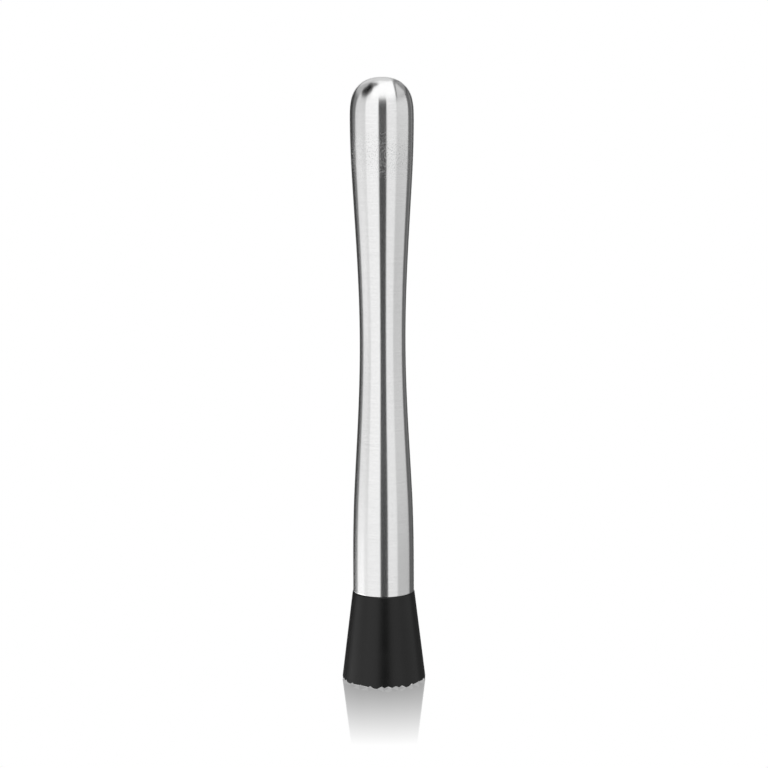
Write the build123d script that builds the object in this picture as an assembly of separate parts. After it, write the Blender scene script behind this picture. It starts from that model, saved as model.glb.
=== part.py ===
"""Bar muddler: a hollow, waisted stainless steel handle with a screw-on nylon muddling head.

The muddler stands on its toothed face. The origin is on its axis at the level of the tooth tips, and +Z
points up along the handle. Sizes are in millimetres.
"""

import os
from math import ceil, radians, tan

from build123d import *

# ---- driving dimensions: handle -----------------------------------------------------------------
TOTAL_HEIGHT = 220.0
COLLAR_Z = 33.1  # where the handle's rim meets the head
STEEL_WALL = 0.8

# Outside of the handle, from the rim up to the widest point of the knob: height, radius and slope dr/dz
HANDLE_STATIONS = [
    (33.1, 11.24, -0.0040),  # rim
    (58.0, 11.06, -0.0261),  # end of the nearly straight stretch
    (68.0, 10.74, -0.0468),
    (92.0, 9.43, -0.0543),
    (124.0, 8.35, -0.0042),  # just below the waist
    (160.0, 9.43, 0.0549),
    (183.0, 10.78, 0.0568),
    (205.0, 11.49, 0.0),  # widest point of the knob
]
RIM_ROUND = 0.3  # outer edge of the tube at the collar
SEAT_RADIUS = 10.45  # straight bore at the tube's foot, which takes the bush and the head's spigot

CROWN_SHOULDER = 0.39  # how squarely the crown leaves the knob, as a share of the crown's height
CROWN_FLATNESS = 1.0  # how flat the crown's top is, as a share of the knob's radius
CAP_WALL = 1.3
CAP_SKIRT_LENGTH = 4.0  # locating skirt of the cap, inside the tube
CAP_SKIRT_CLEARANCE = 0.1

# ---- driving dimensions: muddling head ----------------------------------------------------------
HEAD_TOP_RADIUS = 11.4
HEAD_FLARE = 7.0  # degrees, half angle of the cone
HEAD_TOP_ROUND = 0.35
FACE_ROUND = 0.5
TOOTH_PITCH = 3.93
TOOTH_HEIGHT = 1.1
TOOTH_TIP_SHARE = 0.12  # flat of a tooth's tip as a share of the pitch
TOOTH_TURN = 56.0  # degrees, turn of the tooth rows about the axis

SPIGOT_LENGTH = 6.0  # plain spigot that centres the head in the tube
SPIGOT_CLEARANCE = 0.1
SPIGOT_CHAMFER = 0.6

# ---- driving dimensions: seal ring, in its squeezed shape ---------------------------------------
GROOVE_DEPTH = 1.25
GROOVE_WIDTH = 1.9
GROOVE_Z = COLLAR_Z + 2.8
SEAL_WIDTH = 1.6
SEAL_CORNER = 0.5
SEAL_CLEARANCE = 0.05

# ---- driving dimensions: screw joint, M8 x 1.25 --------------------------------------------------
THREAD_PITCH = 1.25
BOLT_THREAD_TURNS = 8
BUSH_THREAD_TURNS = 7  # the head comes free after as many turns
THREAD_HALF_ANGLE = 30.0  # degrees
PITCH_RADIUS = 3.594
FLANK_GAP = 0.1  # play between the flanks, along the axis
BOLT_CREST_RADIUS = 3.93
BOLT_ROOT_RADIUS = 3.20
BUSH_CREST_RADIUS = 3.36
BUSH_ROOT_RADIUS = 4.04
RIDGE_BITE = 0.05  # how deep a thread's ridge is let into its core, so that the two fuse
SHANK_RADIUS = 4.0  # plain part of the bolt, inside the head
BOLT_TIP_CHAMFER = 0.9
BOLT_HEX = 13.0  # across flats
BOLT_HEX_HEIGHT = 5.3
BOLT_HEX_Z = 12.0  # the end of the bolt's hexagon, inside the head
BUSH_GAP = 0.5  # between the spigot's end and the bush
BUSH_MOUTH_CHAMFER = 0.6
BUSH_HOLE_SPARE = 1.5  # depth of the blind hole beyond the bolt's tip

# ---- worked out from them -----------------------------------------------------------------------
SEAM_Z, KNOB_RADIUS = HANDLE_STATIONS[-1][:2]  # butt seam between tube and cap
SEAT_TOP_Z = HANDLE_STATIONS[1][0]
SPIGOT_RADIUS = SEAT_RADIUS - SPIGOT_CLEARANCE
SPIGOT_TOP_Z = COLLAR_Z + SPIGOT_LENGTH
BUSH_Z = SPIGOT_TOP_Z + BUSH_GAP
BOLT_THREAD_Z = SPIGOT_TOP_Z + THREAD_PITCH / 2
BUSH_THREAD_Z = BOLT_THREAD_Z + 1.5 * THREAD_PITCH
BOLT_TOP_Z = BOLT_THREAD_Z + (BOLT_THREAD_TURNS + 0.25) * THREAD_PITCH


# ---- outlines in the XZ plane -------------------------------------------------------------------
def at(radius, z):
    """A point of a turned outline."""
    return Vector(radius, 0, z)


def path(*points):
    """Straight edges from point to point."""
    return [Line(start, end) for start, end in zip(points, points[1:])]


def waist_curves(stations, offset=0.0):
    """Cubic curves from station to station of the handle's side, moved inwards by offset."""
    curves = []
    for (z0, r0, slope0), (z1, r1, slope1) in zip(stations, stations[1:]):
        third = (z1 - z0) / 3
        start = at(r0 - offset, z0)
        leave = at(r0 - offset + slope0 * third, z0 + third)
        arrive = at(r1 - offset - slope1 * third, z1 - third)
        end = at(r1 - offset, z1)
        curves.append(Bezier(start, leave, arrive, end))
    return curves


def crown_curve(offset=0.0):
    """The crown, from the knob's widest point to the top of the axis, moved inwards by offset."""
    radius = KNOB_RADIUS - offset
    top = TOTAL_HEIGHT - offset
    shoulder = SEAM_Z + CROWN_SHOULDER * (top - SEAM_Z)
    return Bezier(at(radius, SEAM_Z), at(radius, shoulder), at(radius * CROWN_FLATNESS, top), at(0, top))


def turned(edges):
    """The solid that a closed outline makes when it turns about Z."""
    return revolve(make_face(Wire(edges)), Axis.Z)


def outer_rim(shape, z):
    """The widest circular edge of a turned shape at height z."""
    circles = shape.edges().filter_by(GeomType.CIRCLE)
    return circles.filter_by_position(Axis.Z, z - 0.001, z + 0.001).sort_by(SortBy.RADIUS)[-1]


# ---- screw thread -------------------------------------------------------------------------------
STANDING = (Align.CENTER, Align.CENTER, Align.MIN)


def make_thread_ridge(root_radius, crest_radius, foot_z, turns):
    """A right-hand helical ridge from root to crest, outwards on a bolt or inwards in a hole."""
    outwards = 1 if crest_radius > root_radius else -1
    foot_radius = root_radius - outwards * RIDGE_BITE

    def half_width(radius):
        narrowing = outwards * (radius - PITCH_RADIUS) * tan(radians(THREAD_HALF_ANGLE))
        return THREAD_PITCH / 4 - narrowing - FLANK_GAP / 2

    foot, crest = half_width(foot_radius), half_width(crest_radius)
    corners = [at(foot_radius, -foot), at(foot_radius, foot)]
    corners += [at(crest_radius, crest), at(crest_radius, -crest)]
    section = make_face(Polyline(corners, close=True))
    helix = Helix(pitch=THREAD_PITCH, height=THREAD_PITCH * turns, radius=foot_radius)
    return Pos(0, 0, foot_z) * sweep(section, path=helix, is_frenet=True)


# ---- handle -------------------------------------------------------------------------------------
def make_handle_tube():
    """The waisted tube, open at both ends, with a straight seat and a small shoulder at its foot."""
    rim_radius = HANDLE_STATIONS[0][1]
    shoulder_radius = HANDLE_STATIONS[1][1] - STEEL_WALL
    bore_top = KNOB_RADIUS - STEEL_WALL
    outline = waist_curves(HANDLE_STATIONS) + waist_curves(HANDLE_STATIONS[1:], STEEL_WALL)
    outline += path(at(KNOB_RADIUS, SEAM_Z), at(bore_top, SEAM_Z))
    outline += path(
        at(shoulder_radius, SEAT_TOP_Z),
        at(SEAT_RADIUS, SEAT_TOP_Z),
        at(SEAT_RADIUS, COLLAR_Z),
        at(rim_radius, COLLAR_Z),
    )
    tube = turned(outline)
    return fillet(outer_rim(tube, COLLAR_Z), RIM_ROUND)


def make_crown_cap():
    """The domed cap, rebated so that its skirt slips into the tube before the seam is welded and ground."""
    skirt_radius = KNOB_RADIUS - STEEL_WALL - CAP_SKIRT_CLEARANCE
    skirt_foot = SEAM_Z - CAP_SKIRT_LENGTH
    inside = crown_curve(CAP_WALL)
    outline = [crown_curve(), inside]
    outline += path(at(0, TOTAL_HEIGHT), at(0, TOTAL_HEIGHT - CAP_WALL))
    outline += path(
        at(KNOB_RADIUS - CAP_WALL, SEAM_Z),
        at(KNOB_RADIUS - CAP_WALL, skirt_foot),
        at(skirt_radius, skirt_foot),
        at(skirt_radius, SEAM_Z),
        at(KNOB_RADIUS, SEAM_Z),
    )
    return turned(outline)


def make_end_bush():
    """The turned bush in the tube's foot, with a blind tapped hole for the head's bolt."""
    hole_top = BOLT_TOP_Z + BUSH_HOLE_SPARE
    blank = turned(
        path(
            at(BUSH_ROOT_RADIUS + BUSH_MOUTH_CHAMFER, BUSH_Z),
            at(SEAT_RADIUS, BUSH_Z),
            at(SEAT_RADIUS, SEAT_TOP_Z),
            at(0, SEAT_TOP_Z),
            at(0, hole_top),
            at(BUSH_ROOT_RADIUS, hole_top),
            at(BUSH_ROOT_RADIUS, BUSH_Z + BUSH_MOUTH_CHAMFER),
            at(BUSH_ROOT_RADIUS + BUSH_MOUTH_CHAMFER, BUSH_Z),
        )
    )
    return blank + make_thread_ridge(BUSH_ROOT_RADIUS, BUSH_CREST_RADIUS, BUSH_THREAD_Z, BUSH_THREAD_TURNS)


# ---- muddling head ------------------------------------------------------------------------------
def make_bolt_blank():
    """The part of the bolt that the head is moulded around: its hexagon and plain shank."""
    hexagon = extrude(RegularPolygon(BOLT_HEX / 2, 6, major_radius=False), BOLT_HEX_HEIGHT)
    shank = Cylinder(SHANK_RADIUS, SPIGOT_TOP_Z - BOLT_HEX_Z, align=STANDING)
    return Pos(0, 0, BOLT_HEX_Z) * (hexagon + shank)


def make_head_bolt():
    """The whole bolt, whose thread stands out above the head's spigot."""
    core_height = BOLT_TOP_Z - SPIGOT_TOP_Z
    core = Pos(0, 0, SPIGOT_TOP_Z) * Cylinder(BOLT_ROOT_RADIUS, core_height, align=STANDING)
    ridge = make_thread_ridge(BOLT_ROOT_RADIUS, BOLT_CREST_RADIUS, BOLT_THREAD_Z, BOLT_THREAD_TURNS)
    tip_radius = SHANK_RADIUS - BOLT_TIP_CHAMFER
    envelope = turned(
        path(
            at(0, SPIGOT_TOP_Z),
            at(SHANK_RADIUS, SPIGOT_TOP_Z),
            at(SHANK_RADIUS, BOLT_TOP_Z - BOLT_TIP_CHAMFER),
            at(tip_radius, BOLT_TOP_Z),
            at(0, BOLT_TOP_Z),
            at(0, SPIGOT_TOP_Z),
        )
    )
    return make_bolt_blank() + ((core + ridge) & envelope)


def make_tooth_grooves():
    """Two crossed sets of V grooves, which leave square pyramids with small flat tips between them."""
    half_mouth = TOOTH_PITCH * (1 - TOOTH_TIP_SHARE) / 2
    reach = HEAD_TOP_RADIUS + COLLAR_Z * tan(radians(HEAD_FLARE))
    overcut = 0.1 * TOOTH_HEIGHT
    overcut_mouth = half_mouth * (1 + overcut / TOOTH_HEIGHT)
    profile = Polyline(
        (-overcut_mouth, -overcut),
        (overcut_mouth, -overcut),
        (0, TOOTH_HEIGHT),
        close=True,
    )
    groove = extrude(Plane.XZ * make_face(profile), reach, both=True)
    last = ceil(reach / TOOTH_PITCH)
    row = [Pos(index * TOOTH_PITCH, 0, 0) * groove for index in range(-last, last + 1)]
    return [Rot(0, 0, TOOTH_TURN + quarter) * cut for quarter in (0, 90) for cut in row]


def make_muddling_head():
    """The moulded cone with its toothed face, spigot and seal groove, around the bolt's blank."""
    base_radius = HEAD_TOP_RADIUS + COLLAR_Z * tan(radians(HEAD_FLARE))
    groove_root = SPIGOT_RADIUS - GROOVE_DEPTH
    groove_foot = GROOVE_Z - GROOVE_WIDTH / 2
    groove_top = GROOVE_Z + GROOVE_WIDTH / 2
    cone = turned(
        path(
            at(0, 0),
            at(base_radius, 0),
            at(HEAD_TOP_RADIUS, COLLAR_Z),
            at(SPIGOT_RADIUS, COLLAR_Z),
            at(SPIGOT_RADIUS, groove_foot),
            at(groove_root, groove_foot),
            at(groove_root, groove_top),
            at(SPIGOT_RADIUS, groove_top),
            at(SPIGOT_RADIUS, SPIGOT_TOP_Z - SPIGOT_CHAMFER),
            at(SPIGOT_RADIUS - SPIGOT_CHAMFER, SPIGOT_TOP_Z),
            at(0, SPIGOT_TOP_Z),
            at(0, 0),
        )
    )
    cone = fillet(outer_rim(cone, COLLAR_Z), HEAD_TOP_ROUND)
    cone = fillet(outer_rim(cone, 0), FACE_ROUND)
    return cone - make_tooth_grooves() - make_bolt_blank()


def make_seal_ring():
    """The rubber ring in the spigot's groove, a little short of the groove's root and of the bore."""
    inner = SPIGOT_RADIUS - GROOVE_DEPTH + SEAL_CLEARANCE
    outer = SEAT_RADIUS - SEAL_CLEARANCE
    section = RectangleRounded(outer - inner, SEAL_WIDTH, SEAL_CORNER)
    place = Pos((inner + outer) / 2, 0, GROOVE_Z)
    return revolve(place * (Plane.XZ * section), Axis.Z)


# ---- write one file for each piece --------------------------------------------------------------
def main():
    """Build every piece and write it to its own STEP file."""
    pieces = {
        "handle_tube": make_handle_tube(),
        "crown_cap": make_crown_cap(),
        "end_bush": make_end_bush(),
        "muddling_head": make_muddling_head(),
        "head_bolt": make_head_bolt(),
        "seal_ring": make_seal_ring(),
    }
    os.makedirs("parts", exist_ok=True)
    for name, piece in pieces.items():
        export_step(piece, f"parts/{name}.step")
        print(f"{name}: {piece.volume:.1f} cubic mm, valid {piece.is_valid}")


main()
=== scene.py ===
"""Looks of a bar muddler: a brushed, waisted steel handle on a flared black nylon head with a toothed face.

Everything is in metres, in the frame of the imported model: the axis is Z, the teeth stand on z = 0, and the
front is -Y. Every visible piece is a surface worked out on a grid with numpy, one piece for each CAD node.
"""
import logging
import math
from dataclasses import dataclass
from enum import Enum
from typing import Any, Sequence

import bpy
import numpy as np
from mathutils import Matrix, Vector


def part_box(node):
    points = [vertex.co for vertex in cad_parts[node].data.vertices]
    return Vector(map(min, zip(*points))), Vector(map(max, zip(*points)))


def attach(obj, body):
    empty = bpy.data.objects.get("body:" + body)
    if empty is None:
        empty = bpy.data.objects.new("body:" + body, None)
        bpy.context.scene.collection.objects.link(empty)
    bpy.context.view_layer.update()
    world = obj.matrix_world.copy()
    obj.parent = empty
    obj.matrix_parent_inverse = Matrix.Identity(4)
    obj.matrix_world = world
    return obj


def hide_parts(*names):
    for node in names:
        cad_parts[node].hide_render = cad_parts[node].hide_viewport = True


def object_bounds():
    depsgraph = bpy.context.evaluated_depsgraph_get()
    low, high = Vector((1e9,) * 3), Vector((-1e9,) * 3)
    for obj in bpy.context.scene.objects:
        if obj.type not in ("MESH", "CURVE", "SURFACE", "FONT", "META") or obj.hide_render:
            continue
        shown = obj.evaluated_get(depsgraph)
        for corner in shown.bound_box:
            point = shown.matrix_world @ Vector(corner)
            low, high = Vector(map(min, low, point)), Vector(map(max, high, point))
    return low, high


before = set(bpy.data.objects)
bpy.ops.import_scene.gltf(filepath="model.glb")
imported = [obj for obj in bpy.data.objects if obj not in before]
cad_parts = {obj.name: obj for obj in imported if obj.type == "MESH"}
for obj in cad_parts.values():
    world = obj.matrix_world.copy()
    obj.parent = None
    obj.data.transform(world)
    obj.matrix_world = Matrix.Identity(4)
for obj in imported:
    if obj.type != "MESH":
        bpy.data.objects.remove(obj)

CAD_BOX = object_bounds()
MM = 0.001
LOG = logging.getLogger("muddler")


# ==== surfaces ====================================================================================
class Crease(Enum):
    """The angle between faces, in degrees, above which an edge stays sharp."""

    TURNED = 32.0
    MOULDED = 70.0


def arc(centre: Sequence[float], radius: float, start: float, end: float, count: int = 7) -> np.ndarray:
    """A round stretch of an outline: the centre plus the radius along an angle that goes evenly to its end.

    Args:
        centre: the arc's centre, as distance from the axis and height.
        radius: the arc's radius.
        start: first angle in degrees, counted from straight outwards towards straight up.
        end: last angle in degrees.
        count: number of points.

    Returns:
        An array of points, each a distance from the axis and a height.
    """
    angle = np.radians(np.linspace(start, end, count))
    return np.stack([centre[0] + radius * np.cos(angle), centre[1] + radius * np.sin(angle)], axis=1)


def straight(start: Sequence[float], end: Sequence[float], count: int = 2) -> np.ndarray:
    """Evenly spaced points on a straight stretch of an outline.

    Args:
        start: first point, as distance from the axis and height.
        end: last point.
        count: number of points.

    Returns:
        An array of points.
    """
    share = np.linspace(0.0, 1.0, count)[:, None]
    return np.asarray(start) * (1 - share) + np.asarray(end) * share


def turned_rows(outline: np.ndarray, angles: np.ndarray) -> np.ndarray:
    """Rows of a surface of revolution: x = r cos a, y = r sin a, z = height, for each outline point.

    Args:
        outline: points as distance from the axis and height, of shape (rows, 2), or (rows, columns, 2)
            where they differ from column to column.
        angles: the angle of each column, in radians.

    Returns:
        An array of shape (rows, columns, 3).
    """
    if outline.ndim == 2:
        outline = np.repeat(outline[:, None, :], len(angles), axis=1)
    radius, height = outline[..., 0], outline[..., 1]
    return np.stack([radius * np.cos(angles), radius * np.sin(angles), height], axis=2)


class SurfaceMesh:
    """Collects the points and faces of one closed piece, and turns them into a Blender object."""

    def __init__(self) -> None:
        """Start with nothing."""
        self.points: list[np.ndarray] = []
        self.faces: list[np.ndarray] = []
        self.count = 0

    def add_points(self, points: np.ndarray) -> np.ndarray:
        """Add points and give back their numbers, in the same arrangement.

        Args:
            points: array whose last axis is x, y, z.

        Returns:
            The points' numbers, in an array without that last axis.
        """
        numbers = np.arange(self.count, self.count + points[..., 0].size).reshape(points.shape[:-1])
        self.points.append(points.reshape(-1, 3))
        self.count += numbers.size
        return numbers

    def add_band(self, rows: np.ndarray) -> None:
        """Four-sided faces between neighbouring rows of columns that go right round.

        Args:
            rows: point numbers, of shape (rows, columns).
        """
        ahead = np.roll(rows, -1, axis=1)
        quads = np.stack([rows[:-1], ahead[:-1], ahead[1:], rows[1:]], axis=2)
        self.faces.append(quads.reshape(-1, 4))

    def add_sheet(self, grid: np.ndarray) -> None:
        """Four-sided faces of an open grid whose first index grows with x and second with y, facing down.

        Args:
            grid: point numbers on a grid.
        """
        quads = np.stack([grid[:-1, :-1], grid[:-1, 1:], grid[1:, 1:], grid[1:, :-1]], axis=2)
        self.faces.append(quads.reshape(-1, 4))

    def add_pole(self, row: np.ndarray, height: float, first: bool) -> None:
        """Close a ring with triangles to a point on the axis.

        Args:
            row: point numbers of the ring.
            height: height of the point on the axis.
            first: True where the outline starts on the axis, False where it ends there.
        """
        pole = self.add_points(np.array([[0.0, 0.0, height]]))[0]
        ahead = np.roll(row, -1)
        tip = np.full_like(row, pole)
        self.faces.append(np.stack([tip, ahead, row] if first else [row, ahead, tip], axis=1))

    def add_thinning(self, fine: np.ndarray, coarse: np.ndarray) -> None:
        """Faces between a finely divided ring and a coarser one above it.

        Args:
            fine: point numbers of the lower ring, a whole multiple of the upper one's.
            coarse: point numbers of the upper ring.
        """
        share = len(fine) // len(coarse)
        runs = np.stack([np.roll(fine, -step)[::share] for step in range(share + 1)], axis=1)
        self.faces.append(np.column_stack([runs, np.roll(coarse, -1), coarse]))

    def finish(self, name: str, crease: Crease) -> bpy.types.Object:
        """Make the object, with smooth faces and sharp edges only where faces meet at a large angle.

        Args:
            name: the piece's name.
            crease: the angle above which an edge stays sharp.

        Returns:
            The new object, at the origin, with its place in its mesh.
        """
        mesh = bpy.data.meshes.new(name)
        points = np.concatenate(self.points)
        mesh.from_pydata(points.tolist(), [], [face for part in self.faces for face in part.tolist()])
        mesh.validate()
        mesh.shade_smooth()
        mesh.set_sharp_from_angle(angle=math.radians(crease.value))
        piece = bpy.data.objects.new(name, mesh)
        bpy.context.scene.collection.objects.link(piece)
        LOG.info("%s: %d points, %d faces", name, len(points), len(mesh.polygons))
        return piece


def turned_piece(
    name: str, outline: np.ndarray, columns: int, crease: Crease = Crease.TURNED
) -> bpy.types.Object:
    """A ring-shaped piece from an outline that closes on itself, counter-clockwise seen from the front.

    Args:
        name: the piece's name.
        outline: points as distance from the axis and height.
        columns: number of divisions round the axis.
        crease: the angle above which an edge stays sharp.

    Returns:
        The new object.
    """
    surface = SurfaceMesh()
    angles = np.linspace(0.0, 2 * math.pi, columns, endpoint=False)
    rows = surface.add_points(turned_rows(outline, angles))
    surface.add_band(rows)
    surface.add_band(rows[[-1, 0]])
    return surface.finish(name, crease)


# ==== shader maths ================================================================================
class Signal:
    """A number that varies over a surface, on which Python's operators add Math nodes."""

    def __init__(self, graph: "Graph", socket: bpy.types.NodeSocket) -> None:
        """Wrap an output socket of a node in a graph."""
        self.graph = graph
        self.socket = socket

    def apply(self, operation: str, *values: Any) -> "Signal":
        """Add a Math node.

        Args:
            operation: the Math node's operation.
            values: its inputs, as numbers or signals.

        Returns:
            The node's output.
        """
        inputs = dict(enumerate(values))
        return self.graph.signal("ShaderNodeMath", {"operation": operation}, inputs)

    def __add__(self, other: Any) -> "Signal":
        """Sum."""
        return self.apply("ADD", self, other)

    def __radd__(self, other: Any) -> "Signal":
        """Sum with a number on the left."""
        return self.apply("ADD", other, self)

    def __sub__(self, other: Any) -> "Signal":
        """Difference."""
        return self.apply("SUBTRACT", self, other)

    def __rsub__(self, other: Any) -> "Signal":
        """Difference with a number on the left."""
        return self.apply("SUBTRACT", other, self)

    def __mul__(self, other: Any) -> "Signal":
        """Product."""
        return self.apply("MULTIPLY", self, other)

    def __rmul__(self, other: Any) -> "Signal":
        """Product with a number on the left."""
        return self.apply("MULTIPLY", other, self)

    def __truediv__(self, other: Any) -> "Signal":
        """Quotient."""
        return self.apply("DIVIDE", self, other)

    def __rtruediv__(self, other: Any) -> "Signal":
        """Quotient with a number on the left."""
        return self.apply("DIVIDE", other, self)

    def __pow__(self, other: Any) -> "Signal":
        """Power."""
        return self.apply("POWER", self, other)

    def __neg__(self) -> "Signal":
        """The signal with its sign turned."""
        return self.apply("MULTIPLY", self, -1.0)

    def ramp(self, low: float, high: float) -> "Signal":
        """A smooth step from 0 at low to 1 at high, or back down if low is the larger.

        Args:
            low: where it is 0.
            high: where it is 1.

        Returns:
            The smooth step.
        """
        values = {"Value": self, "From Min": low, "From Max": high, "To Min": 0.0, "To Max": 1.0}
        return self.graph.signal("ShaderNodeMapRange", {"interpolation_type": "SMOOTHSTEP"}, values)

    def between(self, low: float, high: float, soft: float) -> "Signal":
        """1 between low and high, fading to 0 over a soft edge centred on each.

        Args:
            low: lower edge.
            high: upper edge.
            soft: width of each edge.

        Returns:
            The mask.
        """
        return self.ramp(low - soft / 2, low + soft / 2) * self.ramp(high + soft / 2, high - soft / 2)


class Graph:
    """The node tree of one material or world, cleared and ready to be filled."""

    def __init__(self, tree: bpy.types.NodeTree) -> None:
        """Take over a node tree."""
        tree.nodes.clear()
        self.tree = tree

    def node(self, kind: str, settings: dict[str, Any], inputs: dict[Any, Any]) -> bpy.types.Node:
        """Add a node, set it up and feed it.

        Args:
            kind: the node's type.
            settings: properties that are set first.
            inputs: a number, colour, signal or socket for each input, by name or number.

        Returns:
            The node.
        """
        node = self.tree.nodes.new(kind)
        for key, value in settings.items():
            setattr(node, key, value)
        for key, value in inputs.items():
            source = value.socket if isinstance(value, Signal) else value
            if isinstance(source, bpy.types.NodeSocket):
                self.tree.links.new(source, node.inputs[key])
            else:
                node.inputs[key].default_value = source
        return node

    def signal(self, kind: str, settings: dict[str, Any], inputs: dict[Any, Any], output: Any = 0) -> Signal:
        """Add a node and wrap one of its outputs.

        Args:
            kind: the node's type.
            settings: properties that are set first.
            inputs: values and links of its inputs.
            output: name or number of the output.

        Returns:
            The output as a signal.
        """
        return Signal(self, self.node(kind, settings, inputs).outputs[output])

    def place(self) -> tuple[Signal, Signal, Signal]:
        """The point's own x, y and z on the piece, in metres."""
        where = self.node("ShaderNodeTexCoord", {}, {}).outputs["Object"]
        split = self.node("ShaderNodeSeparateXYZ", {}, {"Vector": where})
        return tuple(Signal(self, output) for output in split.outputs)

    def vector(self, x: Any, y: Any, z: Any) -> bpy.types.NodeSocket:
        """A vector of three numbers or signals."""
        return self.node("ShaderNodeCombineXYZ", {}, {"X": x, "Y": y, "Z": z}).outputs[0]

    def noise(
        self, where: bpy.types.NodeSocket, scale: float, detail: float, roughness: float = 0.5
    ) -> Signal:
        """Fractal noise from 0 to 1.

        Args:
            where: the point to look it up at.
            scale: lumps per unit.
            detail: number of finer layers.
            roughness: strength of the finer layers.

        Returns:
            The noise.
        """
        values = {"Vector": where, "Scale": scale, "Detail": detail, "Roughness": roughness}
        return self.signal("ShaderNodeTexNoise", {}, values)

    def blend(self, share: Signal, low: Sequence[float], high: Sequence[float]) -> bpy.types.NodeSocket:
        """A colour between two, by a share from 0 to 1."""
        inputs = {0: share, 6: (*low, 1.0), 7: (*high, 1.0)}
        return self.node("ShaderNodeMix", {"data_type": "RGBA"}, inputs).outputs[2]

    def bump(self, height: Signal, distance: float, strength: float = 1.0) -> bpy.types.NodeSocket:
        """A bumped normal from a height of 0 to 1 that stands for a distance in metres."""
        inputs = {"Height": height, "Distance": distance, "Strength": strength}
        return self.node("ShaderNodeBump", {}, inputs).outputs[0]

    def show(self, shader: bpy.types.Node) -> None:
        """Lead a shader to the material's output."""
        self.node("ShaderNodeOutputMaterial", {}, {"Surface": shader.outputs[0]})

    def principled(self, inputs: dict[str, Any]) -> None:
        """Add the shader that all finishes share, and show it."""
        self.show(self.node("ShaderNodeBsdfPrincipled", {}, inputs))


def new_material(name: str) -> tuple[bpy.types.Material, Graph]:
    """An empty material and its graph."""
    material = bpy.data.materials.new(name)
    material.use_nodes = True
    return material, Graph(material.node_tree)


# ==== finishes ====================================================================================
@dataclass(frozen=True)
class BrushedSteel:
    """Stainless steel brushed round the axis, which blurs what it reflects up and down but not sideways."""

    name: str = "brushed_steel"
    dark: tuple[float, float, float] = (0.78, 0.78, 0.78)
    light: tuple[float, float, float] = (0.90, 0.90, 0.90)
    roughness: float = 0.217
    roughness_swing: float = 0.04
    anisotropy: float = 0.91
    scratch_pitch: float = 0.10 * MM
    scratch_length: float = 9.0 * MM
    scratch_depth: float = 0.0016 * MM
    scratch_share: float = 0.6
    scratch_relief: float = 0.7
    tone_range: tuple[float, float] = (0.30, 0.70)
    grain_scale: tuple[float, float] = (1400.0, 3200.0)
    cloud_scale: tuple[float, float] = (90.0, 45.0)
    cloud_swing: float = 0.03
    speck_size: float = 0.34 * MM
    speck_roughness: float = 0.36
    speck_range: tuple[float, float] = (0.52, 0.72)
    speck_band: tuple[float, float] = (186.0 * MM, 198.0 * MM)
    speck_band_edge: float = 8.0 * MM
    speck_share_elsewhere: float = 0.06
    crown_foot: float = 204.0 * MM
    crown_blend: float = 6.0 * MM
    crown_polish: float = 0.22

    def build(self) -> bpy.types.Material:
        """Scratches are noise that is long round the axis and short along the profile.

        The distance along the profile is the height less the distance from the axis, which grows steadily
        from the rim over the knob to the top of the crown. Specks are rough spots, nearly all of them in one
        band of the knob. The crown above the knob is polished a little finer than the tube.

        Returns:
            The material.
        """
        material, graph = new_material(self.name)
        x, y, z = graph.place()
        radius = (x * x + y * y) ** 0.5
        along = z - radius
        lengthwise, crosswise = 1.0 / self.scratch_length, 1.0 / self.scratch_pitch
        drawn = graph.vector(x * lengthwise, y * lengthwise, along * crosswise)
        scratches = graph.noise(drawn, 1.0, 3.0, 0.6)
        around, upwards = self.grain_scale
        grain = graph.noise(graph.vector(x * around, y * around, along * upwards), 1.0, 2.0, 0.6)
        around, upwards = self.cloud_scale
        cloud = graph.noise(graph.vector(x * around, y * around, along * upwards), 1.0, 2.0)
        tone = scratches * self.scratch_share + grain * (1.0 - self.scratch_share)
        relief = scratches * self.scratch_relief + grain * (1.0 - self.scratch_relief)
        speck = graph.noise(graph.vector(x, y, along), 1.0 / self.speck_size, 1.0).ramp(*self.speck_range)
        least = self.speck_share_elsewhere
        speck = speck * (z.between(*self.speck_band, self.speck_band_edge) * (1.0 - least) + least)
        rough = self.roughness + (tone - 0.5) * self.roughness_swing + (cloud - 0.5) * self.cloud_swing
        polish = z.ramp(self.crown_foot, self.crown_foot + self.crown_blend) * self.crown_polish
        rough = rough * (1.0 - polish) + speck * self.speck_roughness
        graph.principled(
            {
                "Base Color": graph.blend(tone.ramp(*self.tone_range), self.dark, self.light),
                "Metallic": 1.0,
                "Roughness": rough,
                "Anisotropic": self.anisotropy,
                "Anisotropic Rotation": 0.25,
                "Normal": graph.bump(relief, self.scratch_depth),
            }
        )
        return material


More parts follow.
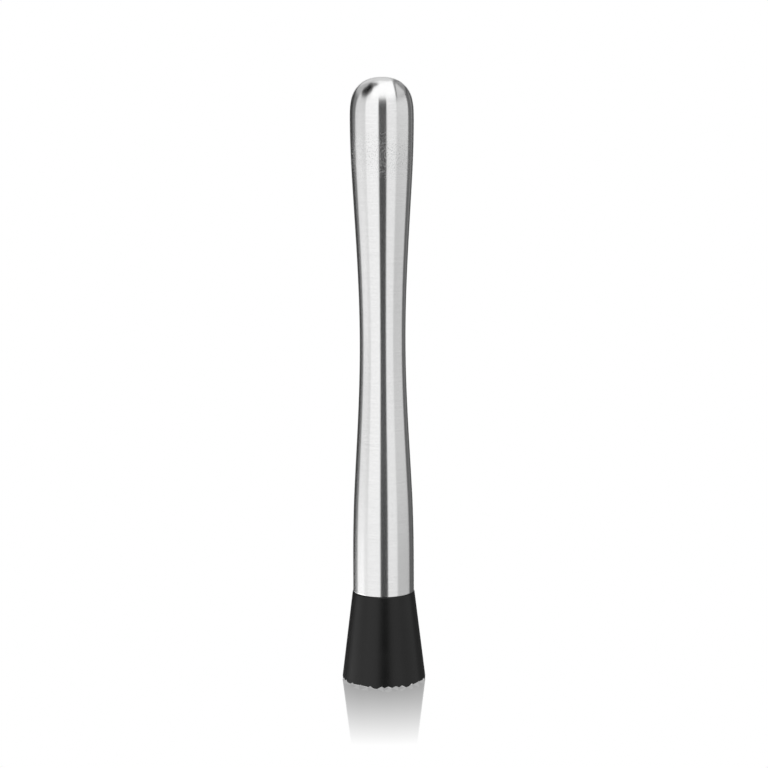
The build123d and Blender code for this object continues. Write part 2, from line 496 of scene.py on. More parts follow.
@dataclass(frozen=True)
class MachinedSteel:
    """Turned or rolled steel of the screw joint, with painted shade towards the axis, in the roots of the
    bolt's thread.
    """

    name: str
    painted_shade_radius: float
    unshaded_radius: float
    # dark is painted shade, laid on nearest the axis; light is the steel's own colour further out
    dark: tuple[float, float, float] = (0.30, 0.30, 0.30)
    light: tuple[float, float, float] = (0.66, 0.66, 0.65)
    roughness: float = 0.30
    roughness_swing: float = 0.12
    mark_scale: tuple[float, float] = (150.0, 9000.0)
    mark_share: float = 0.25
    mark_depth: float = 0.002 * MM

    def build(self) -> bpy.types.Material:
        """The tone goes from dark to light with the distance from the axis, between root and crest: painted
        shade that darkens the steel near the axis, in the roots of the bolt's thread.

        Tool marks are noise that is long round the axis and short along it.

        Returns:
            The material.
        """
        material, graph = new_material(self.name)
        x, y, z = graph.place()
        radius = (x * x + y * y) ** 0.5
        # painted shade: 0 nearest the axis, where the colour is darkest, rising to 1 further out
        crest = radius.ramp(self.painted_shade_radius, self.unshaded_radius)
        around, upwards = self.mark_scale
        marks = graph.noise(graph.vector(x * around, y * around, (z + radius) * upwards), 1.0, 2.0)
        tone = crest * (1.0 - self.mark_share) + marks * self.mark_share
        graph.principled(
            {
                "Base Color": graph.blend(tone, self.dark, self.light),
                "Metallic": 1.0,
                "Roughness": self.roughness + (marks - 0.5) * self.roughness_swing,
                "Normal": graph.bump(marks, self.mark_depth),
            }
        )
        return material


@dataclass(frozen=True)
class MouldedNylon:
    """Black nylon with the fine matt grain of a spark-eroded mould, a little polished on the teeth."""

    name: str = "black_nylon"
    dark: tuple[float, float, float] = (0.003, 0.003, 0.003)
    light: tuple[float, float, float] = (0.006, 0.006, 0.006)
    roughness: float = 0.34
    specular_level: float = 0.37
    grain_size: float = 0.22 * MM
    grain_depth: float = 0.012 * MM
    grain_swing: float = 0.16
    grain_relief: float = 0.8
    cloud_scale: float = 140.0
    cloud_swing: float = 0.08
    worn_height: float = 0.25 * MM
    worn_tone: float = 0.6
    worn_polish: float = 0.1

    def build(self) -> bpy.types.Material:
        """Grain is fine noise, over broad faint clouds; wear is a smooth step in height near the tooth tips.

        Returns:
            The material.
        """
        material, graph = new_material(self.name)
        x, y, z = graph.place()
        here = graph.vector(x, y, z)
        grain = graph.noise(here, 1.0 / self.grain_size, 2.0, 0.6)
        cloud = graph.noise(here, self.cloud_scale, 3.0)
        worn = z.ramp(self.worn_height, 0.0)
        tone = (grain * 0.5 + cloud * 0.5).ramp(0.35, 0.65) * 0.8 + worn * self.worn_tone
        rough = self.roughness + (grain - 0.5) * self.grain_swing + (cloud - 0.5) * self.cloud_swing
        relief = grain * self.grain_relief + cloud * (1.0 - self.grain_relief)
        graph.principled(
            {
                "Base Color": graph.blend(tone, self.dark, self.light),
                "Roughness": rough - worn * self.worn_polish,
                "Specular IOR Level": self.specular_level,
                "Normal": graph.bump(relief, self.grain_depth, 0.5),
            }
        )
        return material


@dataclass(frozen=True)
class SealRubber:
    """Soft black rubber with a dull, slightly dusty skin."""

    name: str = "seal_rubber"
    dark: tuple[float, float, float] = (0.010, 0.010, 0.010)
    light: tuple[float, float, float] = (0.030, 0.030, 0.030)
    roughness: float = 0.62
    roughness_swing: float = 0.2
    dust_scale: float = 2600.0
    dust_depth: float = 0.01 * MM

    def build(self) -> bpy.types.Material:
        """Dust is medium noise that lifts the colour and the roughness together.

        Returns:
            The material.
        """
        material, graph = new_material(self.name)
        dust = graph.noise(graph.vector(*graph.place()), self.dust_scale, 4.0)
        graph.principled(
            {
                "Base Color": graph.blend(dust.ramp(0.3, 0.7), self.dark, self.light),
                "Roughness": self.roughness + (dust - 0.5) * self.roughness_swing,
                "Normal": graph.bump(dust, self.dust_depth, 0.4),
            }
        )
        return material


def mount_piece(
    piece: bpy.types.Object, material: bpy.types.Material, body: str, node: str
) -> None:
    """Give a piece its material and its place in the frame.

    Args:
        piece: the new object.
        material: its finish.
        body: the CAD body that it moves with.
        node: the CAD node that it stands for.
    """
    piece.data.materials.append(material)
    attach(piece, body)
    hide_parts(node)


# ==== the handle ==================================================================================
@dataclass(frozen=True)
class Station:
    """A height on the handle's side with its radius and slope."""

    height: float
    radius: float
    slope: float


@dataclass
class Handle:
    """The waisted steel tube and the domed cap that closes it."""

    wall: float = 0.8 * MM
    rim_round: float = 0.3 * MM
    seat_radius: float = 10.45 * MM
    cap_wall: float = 1.3 * MM
    skirt_length: float = 4.0 * MM
    skirt_clearance: float = 0.1 * MM
    crown_shoulder: float = 0.39
    columns: int = 216
    stations: tuple[Station, ...] = (
        Station(33.1 * MM, 11.24 * MM, -0.0040),
        Station(58.0 * MM, 11.06 * MM, -0.0261),
        Station(68.0 * MM, 10.74 * MM, -0.0468),
        Station(92.0 * MM, 9.43 * MM, -0.0543),
        Station(124.0 * MM, 8.35 * MM, -0.0042),
        Station(160.0 * MM, 9.43 * MM, 0.0549),
        Station(183.0 * MM, 10.78 * MM, 0.0568),
        Station(205.0 * MM, 11.49 * MM, 0.0),
    )

    def radius_at(self, height: np.ndarray) -> np.ndarray:
        """The side's radius: between stations, the cubic that has both stations' radii and slopes.

        Args:
            height: heights on the side.

        Returns:
            The radius at each height.
        """
        z = np.array([station.height for station in self.stations])
        r = np.array([station.radius for station in self.stations])
        slope = np.array([station.slope for station in self.stations])
        span = np.clip(np.searchsorted(z, height, side="right") - 1, 0, len(z) - 2)
        length = z[span + 1] - z[span]
        t = (height - z[span]) / length
        ends = r[span] * (1 + 2 * t) * (1 - t) ** 2 + r[span + 1] * t**2 * (3 - 2 * t)
        leans = slope[span] * t * (1 - t) ** 2 - slope[span + 1] * t**2 * (1 - t)
        return ends + leans * length

    def crown(self, offset: float, count: int) -> np.ndarray:
        """The crown's outline: a cubic curve that leaves the knob upright and reaches the axis level.

        Args:
            offset: distance of the outline inside the outer surface.
            count: number of points.

        Returns:
            Points from the knob to the axis.
        """
        seam = self.stations[-1].height
        top = CAD_BOX[1].z - offset
        radius = self.stations[-1].radius - offset
        shoulder = seam + self.crown_shoulder * (top - seam)
        corners = np.array([(radius, seam), (radius, shoulder), (radius, top), (0, top)])
        t = np.linspace(0.0, 1.0, count)[:, None]
        weights = np.hstack([(1 - t) ** 3, 3 * t * (1 - t) ** 2, 3 * t**2 * (1 - t), t**3])
        points = weights @ corners
        points[-1, 0] = 0.0
        return points

    def build_tube(self) -> bpy.types.Object:
        """The tube's wall, as one closed outline up the outside and down the bore."""
        foot, seam = self.stations[0].height, self.stations[-1].height
        shoulder = self.stations[1].height
        rim_radius = self.stations[0].radius
        rim = arc((rim_radius - self.rim_round, foot + self.rim_round), self.rim_round, -90, 0)
        outer_heights = np.linspace(foot + 2 * self.rim_round, seam, 230)
        inner_heights = np.linspace(seam, shoulder, 90)
        outer = np.column_stack([self.radius_at(outer_heights), outer_heights])
        inner = np.column_stack([self.radius_at(inner_heights) - self.wall, inner_heights])
        seat = straight((self.seat_radius, shoulder), (self.seat_radius, foot), 12)
        return turned_piece("handle_tube_steel", np.concatenate([rim, outer, inner, seat]), self.columns)

    def build_cap(self) -> bpy.types.Object:
        """The cap: its outside to the top of the axis, and back down the inside to its skirt."""
        seam = self.stations[-1].height
        radius = self.stations[-1].radius
        foot = seam - self.skirt_length
        skirt = radius - self.wall - self.skirt_clearance
        inside = radius - self.cap_wall
        angles = np.linspace(0.0, 2 * math.pi, self.columns, endpoint=False)
        surface = SurfaceMesh()
        below = np.array([(inside, foot), (skirt, foot), (skirt, seam)])
        outside = np.concatenate([below, self.crown(0.0, 64)[:-1]])
        lining = straight((inside, seam), (inside, foot), 4)[1:-1]
        within = np.concatenate([self.crown(self.cap_wall, 40)[-2::-1], lining])
        shell = surface.add_points(turned_rows(outside, angles))
        hollow = surface.add_points(turned_rows(within, angles))
        surface.add_band(shell)
        surface.add_band(np.vstack([hollow, shell[:1]]))
        surface.add_pole(shell[-1], CAD_BOX[1].z, first=False)
        surface.add_pole(hollow[0], CAD_BOX[1].z - self.cap_wall, first=True)
        return surface.finish("crown_cap_steel", Crease.TURNED)

    def build(self) -> None:
        """Make, finish and mount both pieces."""
        steel = BrushedSteel().build()
        mount_piece(self.build_tube(), steel, "handle", "handle_tube")
        mount_piece(self.build_cap(), steel, "handle", "crown_cap")


# ==== the screw joint =============================================================================
@dataclass
class ScrewJoint:
    """The tapped bush in the tube's foot, and the bolt that stands out of the head."""

    pitch: float = 1.25 * MM
    pitch_radius: float = 3.594 * MM
    half_angle: float = math.radians(30.0)
    flank_gap: float = 0.1 * MM
    bolt_crest: float = 3.93 * MM
    bolt_root: float = 3.20 * MM
    bush_crest: float = 3.36 * MM
    bush_root: float = 4.04 * MM
    bush_radius: float = 10.45 * MM
    bush_mouth: float = 0.6 * MM
    bush_hole_depth: float = 11.94 * MM
    bolt_thread_turns: float = 8.0
    bush_thread_turns: float = 7.0
    shank_radius: float = 4.0 * MM
    hexagon: float = 13.0 * MM
    hexagon_height: float = 5.3 * MM
    tip_chamfer: float = 0.9 * MM
    spigot_top: float = 39.1 * MM
    columns: int = 144
    thread_rows: int = 260
    thread_start: float = 0.05 * MM

    def angles(self) -> np.ndarray:
        """The angle of each column of a threaded piece."""
        return np.linspace(0.0, 2 * math.pi, self.columns, endpoint=False)

    def hexagon_radius(self, angles: np.ndarray) -> np.ndarray:
        """Distance from the axis to a hexagon's side.

        It is half the hexagon's width over the cosine of the angle to the nearest flat's middle.

        Args:
            angles: angles round the axis, with a corner at 0.

        Returns:
            The distance at each angle.
        """
        sixth = math.pi / 3
        return self.hexagon / 2 / np.cos(np.mod(angles, sixth) - sixth / 2)

    def ridge(self, heights: np.ndarray, foot: float, turns: float, root: float, crest: float) -> np.ndarray:
        """Radius of a threaded surface at every height and angle.

        At each angle, the nearest turn of the helix gives a distance along the axis from the ridge's middle.
        The radius falls from the crest along 60-degree flanks as that distance grows, down to the root.

        Args:
            heights: height of each row.
            foot: height of the ridge's middle where it starts, at angle 0.
            turns: number of turns of the ridge.
            root: radius between the turns.
            crest: radius on top of the ridge, outside the root on a bolt and inside it in a hole.

        Returns:
            Radii of shape (rows, columns).
        """
        outwards = math.copysign(1.0, crest - root)
        helix = foot + self.pitch * self.angles()[None, :] / (2 * math.pi)
        turn = np.clip(np.round((heights[:, None] - helix) / self.pitch), 0, turns - 1)
        away = np.abs(heights[:, None] - helix - turn * self.pitch)
        half_width = self.pitch / 4 - self.flank_gap / 2
        radius = self.pitch_radius + outwards * (half_width - away) / math.tan(self.half_angle)
        return np.clip(radius, min(root, crest), max(root, crest))

    def build_bolt(self) -> bpy.types.Object:
        """The bolt: hexagon and shank inside the head, and the threaded stud above it."""
        low, high = (corner.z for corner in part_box("head_bolt"))
        surface = SurfaceMesh()
        angles = self.angles()
        hexagon, hexagon_top = self.hexagon_radius(angles), low + self.hexagon_height
        blank = [(hexagon, low), (hexagon, hexagon_top), (self.shank_radius, hexagon_top)]
        blank += [(self.shank_radius, self.spigot_top), (self.bolt_root, self.spigot_top)]
        level = np.ones_like(angles)
        rows = [np.stack([radius * level, height * level], axis=1) for radius, height in blank]
        heights = np.linspace(self.spigot_top + self.thread_start, high, self.thread_rows)
        foot = self.spigot_top + self.pitch / 2
        thread = self.ridge(heights, foot, self.bolt_thread_turns, self.bolt_root, self.bolt_crest)
        thread = np.minimum(thread, self.shank_radius - self.tip_chamfer + (high - heights)[:, None])
        stud = np.stack(np.broadcast_arrays(thread, heights[:, None]), axis=2)
        numbers = surface.add_points(turned_rows(np.concatenate([np.stack(rows), stud]), angles))
        surface.add_band(numbers)
        surface.add_pole(numbers[0], low, first=True)
        surface.add_pole(numbers[-1], high, first=False)
        return surface.finish("head_bolt_steel", Crease.TURNED)

    def build_bush(self) -> bpy.types.Object:
        """The bush: up its outside, across its top to the axis, and up the blind hole from its mouth."""
        low, high = (corner.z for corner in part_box("end_bush"))
        surface = SurfaceMesh()
        angles = self.angles()
        hole_top = low + self.bush_hole_depth
        heights = np.linspace(hole_top, low + self.bush_mouth, self.thread_rows)
        foot = self.spigot_top + 2 * self.pitch
        thread = self.ridge(heights, foot, self.bush_thread_turns, self.bush_root, self.bush_crest)
        hole = np.stack(np.broadcast_arrays(thread, heights[:, None]), axis=2)
        mouth = (self.bush_root + self.bush_mouth, low)
        outline = np.array([mouth, (self.bush_radius, low), (self.bush_radius, high)])
        body = surface.add_points(turned_rows(outline, angles))
        bore = surface.add_points(turned_rows(hole, angles))
        surface.add_band(body)
        surface.add_band(np.vstack([bore, body[:1]]))
        surface.add_pole(body[-1], high, first=False)
        surface.add_pole(bore[0], hole_top, first=True)
        return surface.finish("end_bush_steel", Crease.TURNED)

    def build(self) -> None:
        """Make, finish and mount both pieces."""
        # both steels get painted shade, darkest nearest the axis: in the bolt's thread roots and on the
        # bush's thread crests
        bolt_steel = MachinedSteel("bolt_steel", self.bolt_root, self.bolt_crest).build()
        bush_steel = MachinedSteel("bush_steel", self.bush_crest, self.bush_root).build()
        mount_piece(self.build_bolt(), bolt_steel, "head", "head_bolt")
        mount_piece(self.build_bush(), bush_steel, "handle", "end_bush")


# ==== the muddling head ===========================================================================
@dataclass
class MuddlingHead:
    """The flared nylon head with its toothed face and spigot, and the seal ring on the spigot."""

    joint: ScrewJoint
    top_radius: float = 11.4 * MM
    flare: float = math.radians(7.0)
    top_round: float = 0.35 * MM
    face_round: float = 0.5 * MM
    tooth_pitch: float = 3.93 * MM
    tooth_height: float = 1.1 * MM
    tooth_tip_share: float = 0.12
    tooth_turn: float = math.radians(56.0)
    groove_softness: float = 0.022
    edge_softness: float = 30.0
    spigot_radius: float = 10.35 * MM
    spigot_chamfer: float = 0.6 * MM
    seal_height: float = 35.9 * MM
    seal_width: float = 1.6 * MM
    seal_corner: float = 0.5 * MM
    seal_clearance: float = 0.05 * MM
    seal_groove_depth: float = 1.25 * MM
    seal_groove_width: float = 1.9 * MM
    face_divisions: int = 240
    band_above_teeth: float = 0.35 * MM
    cone_start: float = 0.4 * MM

    def __post_init__(self) -> None:
        """Work out the collar's height, the cone's foot and the centre of its rounding."""
        self.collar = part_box("handle_tube")[0].z
        self.foot_radius = self.top_radius + self.collar * math.tan(self.flare)
        spread = (1 + math.sin(self.flare)) / math.cos(self.flare)
        self.round_centre = self.foot_radius - self.face_round * spread

    def tooth_surface(self, x: np.ndarray, y: np.ndarray) -> np.ndarray:
        """Height of the toothed face: square pyramids with small flat tips, between V grooves.

        Along each of two crossed directions, the distance from the nearest tooth's middle gives a ramp that
        is below 0 on the tip and 1 in the groove. The height is the larger ramp, or 0 if both are below it,
        with the change from one to another softened as a logarithm of a sum of powers.

        Args:
            x: points' places across the face.
            y: points' places towards the back.

        Returns:
            The height at each point.
        """
        cosine, sine = math.cos(self.tooth_turn), math.sin(self.tooth_turn)
        powers = np.ones_like(x)
        for along in (cosine * x + sine * y, cosine * y - sine * x):
            share = along / self.tooth_pitch - 0.5
            from_groove = 0.5 - np.abs(share - np.round(share))
            softened = 0.5 - np.sqrt(from_groove**2 + self.groove_softness**2)
            ramp = (2 * softened - self.tooth_tip_share) / (1 - self.tooth_tip_share)
            powers += np.exp(self.edge_softness * ramp)
        return self.tooth_height * np.log(powers) / self.edge_softness

    def side_radius(self, height: np.ndarray) -> np.ndarray:
        """The cone's radius at a height, with its foot rounded: the smaller of the line and the circle."""
        cone = self.foot_radius - height * math.tan(self.flare)
        drop = np.clip(self.face_round - height, 0.0, self.face_round)
        rounded = self.round_centre + np.sqrt(self.face_round**2 - drop**2)
        return np.where(height < self.face_round * (1 + math.sin(self.flare)), rounded, cone)

    def rim_height(self, angles: np.ndarray) -> np.ndarray:
        """Height at which the toothed face meets the side: the teeth, or half way round the foot's rounding.

        The teeth are looked up at the side's radius at the height found so far, four times over.

        Args:
            angles: angles round the axis.

        Returns:
            The height at each angle.
        """
        half_way = self.face_round * (1 - math.cos(math.radians(50.0)))
        height = np.full_like(angles, half_way)
        for _ in range(4):
            radius = self.side_radius(height)
            teeth = self.tooth_surface(radius * np.cos(angles), radius * np.sin(angles))
            height = np.maximum(teeth, half_way)
        return height

    def face_grid(self) -> np.ndarray:
        """The toothed face on a square grid that is drawn out to a disc.

        A grid point at (a, b) goes to the circle of radius the larger of the two, at an angle that is an even
        share of the quarter turn along that circle's side of the square.

        Returns:
            Points of shape (divisions + 1, divisions + 1, 3).
        """
        side = np.linspace(-1.0, 1.0, self.face_divisions + 1)
        a, b = np.meshgrid(side, side, indexing="ij")
        wide = np.abs(a) > np.abs(b)
        reach = np.where(wide, a, b)
        safe = np.where(reach == 0, 1.0, reach)
        angle = np.where(wide, math.pi / 4 * b / safe, math.pi / 2 - math.pi / 4 * a / safe)
        angle = np.where(reach < 0, angle + math.pi, angle)
        rim = self.rim_height(angle.ravel()).reshape(angle.shape)
        radius = np.abs(reach) * self.side_radius(rim)
        x, y = radius * np.cos(angle), radius * np.sin(angle)
        beyond = np.clip(radius - self.round_centre, 0.0, self.face_round)
        rounding = self.face_round - np.sqrt(self.face_round**2 - beyond**2)
        return np.stack([x, y, np.maximum(self.tooth_surface(x, y), rounding)], axis=2)

    def side_outline(self) -> np.ndarray:
        """The head's outline from the cone's top, over the collar and the spigot, down to the bolt."""
        top_centre = self.collar - self.top_round
        edge = self.foot_radius - top_centre * math.tan(self.flare) - self.top_round / math.cos(self.flare)
        spigot_top = self.joint.spigot_top
        groove_foot = self.seal_height - self.seal_groove_width / 2
        groove_top = self.seal_height + self.seal_groove_width / 2
        groove_root = self.spigot_radius - self.seal_groove_depth
        corners = [
            (self.spigot_radius, self.collar),
            (self.spigot_radius, groove_foot),
            (groove_root, groove_foot),
            (groove_root, groove_top),
            (self.spigot_radius, groove_top),
            (self.spigot_radius, spigot_top - self.spigot_chamfer),
            (self.spigot_radius - self.spigot_chamfer, spigot_top),
            (self.joint.shank_radius, spigot_top),
        ]
        rounding = arc((edge, top_centre), self.top_round, math.degrees(self.flare), 90, 9)
        return np.concatenate([rounding, np.array(corners)])

    def build_head(self) -> bpy.types.Object:
        """The head as one closed surface: the toothed face, the side, the spigot and the bolt's pocket."""
        surface = SurfaceMesh()
        count = self.face_divisions
        grid = surface.add_points(self.face_grid())
        surface.add_sheet(grid)
        rim = np.concatenate([grid[-1, :-1], grid[:0:-1, -1], grid[0, :0:-1], grid[:-1, 0]])
        angles = -math.pi / 4 + np.linspace(0.0, 2 * math.pi, 4 * count, endpoint=False)

        start = self.rim_height(angles)
        above_teeth = self.tooth_height + self.band_above_teeth
        share = np.linspace(0.0, 1.0, 6)[1:, None]
        heights = start[None, :] * (1 - share) + above_teeth * share
        fine = surface.add_points(turned_rows(np.stack([self.side_radius(heights), heights], axis=2), angles))
        surface.add_band(np.vstack([rim[None, :], fine]))

        sparse = angles[::4]
        cone_top = self.side_outline()[0, 1]
        cone_heights = np.linspace(above_teeth + self.cone_start, cone_top, 48)
        cone = np.column_stack([self.side_radius(cone_heights), cone_heights])[:-1]
        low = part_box("head_bolt")[0].z
        pocket_top = low + self.joint.hexagon_height
        hexagon = self.joint.hexagon_radius(sparse)
        level = np.ones_like(sparse)
        pocket = [
            np.stack([self.joint.shank_radius * level, pocket_top * level], axis=1),
            np.stack([hexagon, pocket_top * level], axis=1),
            np.stack([hexagon, low * level], axis=1),
        ]
        upper = surface.add_points(turned_rows(np.concatenate([cone, self.side_outline()]), sparse))
        hollow = surface.add_points(turned_rows(np.stack(pocket), sparse))
        surface.add_thinning(fine[-1], upper[0])
        surface.add_band(np.vstack([upper, hollow]))
        surface.add_pole(hollow[-1], low, first=False)
        return surface.finish("muddling_head_nylon", Crease.MOULDED)

    def build_seal(self) -> bpy.types.Object:
        """The seal ring: a squeezed round section, as a rounded rectangle turned about the axis."""
        inner = self.spigot_radius - self.seal_groove_depth + self.seal_clearance
        outer = Handle.seat_radius - self.seal_clearance
        corner = self.seal_corner
        low = self.seal_height - self.seal_width / 2 + corner
        high = self.seal_height + self.seal_width / 2 - corner
        outline = np.concatenate(
            [
                arc((outer - corner, low), corner, -90, 0, 9),
                arc((outer - corner, high), corner, 0, 90, 9),
                arc((inner + corner, high), corner, 90, 180, 9),
                arc((inner + corner, low), corner, 180, 270, 9),
            ]
        )
        return turned_piece("seal_ring_rubber", outline, 160, Crease.MOULDED)

    def build(self) -> None:
        """Make, finish and mount both pieces."""
        mount_piece(self.build_head(), MouldedNylon().build(), "head", "muddling_head")
        mount_piece(self.build_seal(), SealRubber().build(), "seal", "seal_ring")


# ==== the studio ==================================================================================
@dataclass(frozen=True)
class Panel:
    """A soft light at a great distance, given by the directions that it fills, in degrees.

    Azimuth is counted from the front towards the right, and elevation from the horizon upwards. The strength
    goes from its first value 14 degrees below the horizon to its second at the horizon. The lean moves an
    edge at 111 degrees outwards by so many degrees for each degree below the horizon, and others in
    proportion.
    """

    azimuth: tuple[float, float]
    elevation: tuple[float, float]
    strength: tuple[float, float]
    edge: float = 3.0
    lean: float = 0.0


@dataclass(frozen=True)
class Flag:
    """A black card: a disc or a ring about a direction, which takes away a share of the light.

    Azimuth and elevation give the direction of its middle. The radii are angles from there, and nothing is
    taken away below the foot. All in degrees.
    """

    azimuth: float
    elevation: float
    radii: tuple[float, float]
    share: float
    edge: float = 8.0
    foot: float = -100.0

    def direction(self) -> tuple[float, float, float]:
        """The direction of its middle as a vector."""
        azimuth, elevation = math.radians(self.azimuth), math.radians(self.elevation)
        level = math.cos(elevation)
        return level * math.sin(azimuth), -level * math.cos(azimuth), math.sin(elevation)


@dataclass
class Studio:
    """A white floor with a faint sheen near the object, white surroundings, and soft lights all round.

    The ambient light fills the directions without a panel; its two strengths go as a panel's do.
    """

    floor_radius: float = 4.0
    sheen: float = 0.71
    sheen_reach: float = 75.0 * MM
    sheen_curve: float = 1.42
    sheen_roughness: float = 0.05
    ambient: tuple[float, float] = (0.055, 0.062)
    low_elevation: float = -14.0
    lean_azimuth: float = 111.0
    panels: tuple[Panel, ...] = (
        Panel((-62.0, -11.5), (-100.0, 100.0), (0.97, 1.08)),
        Panel((-112.0, -50.0), (-100.0, 33.0), (0.97, 0.76), 9.0, 0.35),
        Panel((-131.0, -100.0), (-100.0, 25.0), (0.16, 0.19), 5.0),
        Panel((-185.0, -82.0), (-100.0, -20.0), (2.4, 2.4), 5.0),
        Panel((-150.0, -95.0), (21.0, 60.0), (0.48, 0.48), 8.0),
        Panel((17.0, 50.0), (-100.0, 100.0), (0.88, 0.93)),
        Panel((30.0, 59.0), (-100.0, 30.0), (0.88, 0.93), 16.0),
        Panel((40.0, 110.0), (-9.5, 30.0), (0.78, 0.78), 4.0),
        Panel((40.0, 111.0), (-100.0, 0.0), (0.50, 0.50), 7.0, 0.45),
        Panel((105.0, 150.0), (-100.0, 30.0), (0.12, 0.15), 5.0),
        Panel((131.0, 140.0), (-8.0, 40.0), (0.26, 0.26), 4.0),
        Panel((-48.0, 155.0), (26.0, 100.0), (1.2, 1.2), 5.0),
        Panel((-200.0, 200.0), (64.0, 100.0), (1.1, 1.1), 8.0),
        Panel((-200.0, -140.0), (27.0, 100.0), (0.75, 0.75), 9.0),
        Panel((150.0, 200.0), (27.0, 100.0), (0.75, 0.75), 9.0),
        Panel((-200.0, -158.0), (9.0, 24.0), (1.0, 1.0), 4.0),
        Panel((158.0, 200.0), (9.0, 24.0), (1.0, 1.0), 4.0),
        Panel((-200.0, -164.0), (-100.0, 20.0), (0.75, 0.75), 6.0),
        Panel((164.0, 200.0), (-100.0, 20.0), (0.75, 0.75), 6.0),
    )
    flags: tuple[Flag, ...] = (
        Flag(-78.0, 45.0, (-20.0, 19.5), 0.88, 8.0),
        Flag(-96.0, 68.0, (-20.0, 14.0), 0.85, 8.0),
        Flag(114.0, 3.0, (-20.0, 56.0), 0.45, 3.0, 22.0),
        Flag(114.0, 3.0, (52.5, 58.5), 0.64, 2.5, 23.0),
        Flag(134.0, 36.0, (-20.0, 15.0), 0.55, 8.0),
    )

    def build_world(self) -> None:
        """Light from all round: at each direction the strongest panel's light, less what the flags take away.

        A panel's light is its strength, times smooth steps in azimuth and in elevation. A flag is a smooth
        step in the angle between the direction and its middle. The camera itself sees white.
        """
        world = bpy.data.worlds.new("studio")
        bpy.context.scene.world = world
        world.use_nodes = True
        graph = Graph(world.node_tree)
        direction = graph.node("ShaderNodeTexCoord", {}, {}).outputs["Generated"]
        split = graph.node("ShaderNodeSeparateXYZ", {}, {"Vector": direction})
        x, y, z = (Signal(graph, output) for output in split.outputs)
        azimuth = x.apply("ARCTAN2", x, -y) * math.degrees(1.0)
        elevation = z.apply("ARCSINE", z) * math.degrees(1.0)
        height = elevation.ramp(self.low_elevation, 0.0)
        below = elevation.apply("MAXIMUM", -elevation, 0.0).apply("MINIMUM", -elevation, -self.low_elevation)
        light = height * (self.ambient[1] - self.ambient[0]) + self.ambient[0]
        for panel in self.panels:
            turned = azimuth / (1.0 + below * (panel.lean / self.lean_azimuth))
            across = turned.between(*panel.azimuth, panel.edge)
            upright = elevation.between(*panel.elevation, panel.edge + 3.0)
            low, high = panel.strength
            light = light.apply("MAXIMUM", light, across * upright * (height * (high - low) + low))
        for flag in self.flags:
            settings = {"operation": "DOT_PRODUCT"}
            inputs = {0: direction, 1: flag.direction()}
            cosine = graph.signal("ShaderNodeVectorMath", settings, inputs, "Value")
            angle = cosine.apply("ARCCOSINE", cosine) * math.degrees(1.0)
            above = elevation.ramp(flag.foot - flag.edge / 2, flag.foot + flag.edge / 2)
            light = light * (1.0 - angle.between(*flag.radii, flag.edge) * above * flag.share)
        seen = graph.signal("ShaderNodeLightPath", {}, {}, "Is Camera Ray")
        shown = light.apply("MAXIMUM", light * (1.0 - seen), seen)
        background = graph.node("ShaderNodeBackground", {}, {"Color": shown, "Strength": 1.0})
        graph.node("ShaderNodeOutputWorld", {}, {"Surface": background.outputs[0]})

    def build_floor(self) -> None:
        """A round white floor that mirrors only close to the object, and that is clear from underneath.

        The mirroring share falls with the distance d from the axis as sheen (1 - (d / reach)^curve), to 0.
        From underneath only the floor's lower side is met, which lets the teeth be seen.
        """
        surface = SurfaceMesh()
        angles = np.linspace(0.0, 2 * math.pi, 96, endpoint=False)
        ring = surface.add_points(turned_rows(np.array([(self.floor_radius, 0.0)]), angles))
        surface.add_pole(ring[0], 0.0, first=False)
        floor = surface.finish("floor", Crease.TURNED)
        material, graph = new_material("white_floor")
        x, y, _ = graph.place()
        distance = (x * x + y * y) ** 0.5
        share = (1.0 - (distance / self.sheen_reach) ** self.sheen_curve) * self.sheen
        underneath = graph.signal("ShaderNodeNewGeometry", {}, {}, "Backfacing")
        share = share.apply("MAXIMUM", share, 0.0) * (1.0 - underneath)
        seen = graph.signal("ShaderNodeLightPath", {}, {}, "Is Camera Ray")
        white = graph.node("ShaderNodeEmission", {}, {"Color": (1.0, 1.0, 1.0, 1.0), "Strength": 1.0})
        polish = {"Color": (1.0, 1.0, 1.0, 1.0), "Roughness": self.sheen_roughness}
        gloss = graph.node("ShaderNodeBsdfGlossy", {}, polish)
        clear = graph.node("ShaderNodeBsdfTransparent", {}, {"Color": (1.0, 1.0, 1.0, 1.0)})
        opened = {0: seen * underneath, 1: white.outputs[0], 2: clear.outputs[0]}
        base = graph.node("ShaderNodeMixShader", {}, opened)
        mixed = {0: share, 1: base.outputs[0], 2: gloss.outputs[0]}
        mix = graph.node("ShaderNodeMixShader", {}, mixed)
        graph.show(mix)
        floor.data.materials.append(material)
        floor.visible_glossy = False
        floor.visible_diffuse = False

    def build(self) -> None:
        """Set up the surroundings."""
        self.build_world()
        self.build_floor()
        bpy.context.scene.view_settings.view_transform = "Standard"
        bpy.context.scene.view_settings.look = "None"


@dataclass(frozen=True)
class ProductCamera:
    """The camera in front of the object, a little below the height of its knob and looking slightly down."""

    distance: float = 0.600
    height: float = 0.1834
    aside: float = 0.00043
    pitch: float = math.radians(6.99)
    roll: float = math.radians(-0.22)
    lens: float = 77.85

    def build(self) -> None:
        """Place the camera: upright from straight down, tipped by the pitch, and rolled on its own axis."""
        data = bpy.data.cameras.new("product_camera")
        data.lens = self.lens
        data.sensor_width = 36.0
        data.clip_start, data.clip_end = 0.01, 50.0
        camera = bpy.data.objects.new("product_camera", data)
        turn = Matrix.Rotation(math.pi / 2 - self.pitch, 4, "X") @ Matrix.Rotation(self.roll, 4, "Z")
        camera.matrix_world = Matrix.Translation((self.aside, -self.distance, self.height)) @ turn
        bpy.context.scene.collection.objects.link(camera)
        bpy.context.scene.camera = camera


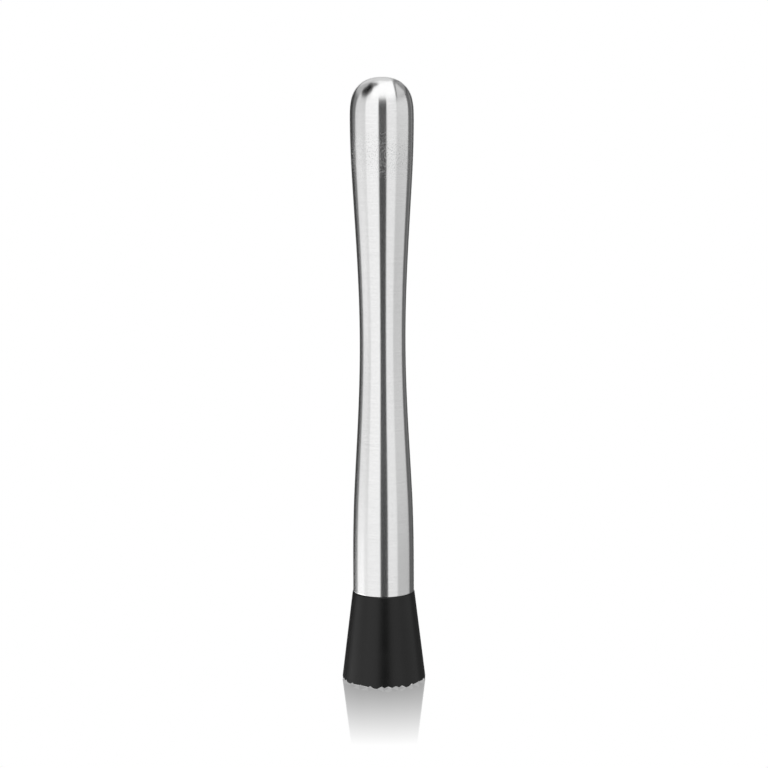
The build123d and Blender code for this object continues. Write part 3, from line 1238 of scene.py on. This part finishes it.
def main() -> None:
    """Build the camera, the studio and every piece, logging each piece's points and faces."""
    logging.basicConfig(level=logging.INFO, format="%(name)s %(message)s")
    ProductCamera().build()
    Studio().build()
    joint = ScrewJoint()
    for assembly in (Handle(), joint, MuddlingHead(joint)):
        assembly.build()
        LOG.info("%s is done", type(assembly).__name__)


if __name__ == "__main__":
    main()
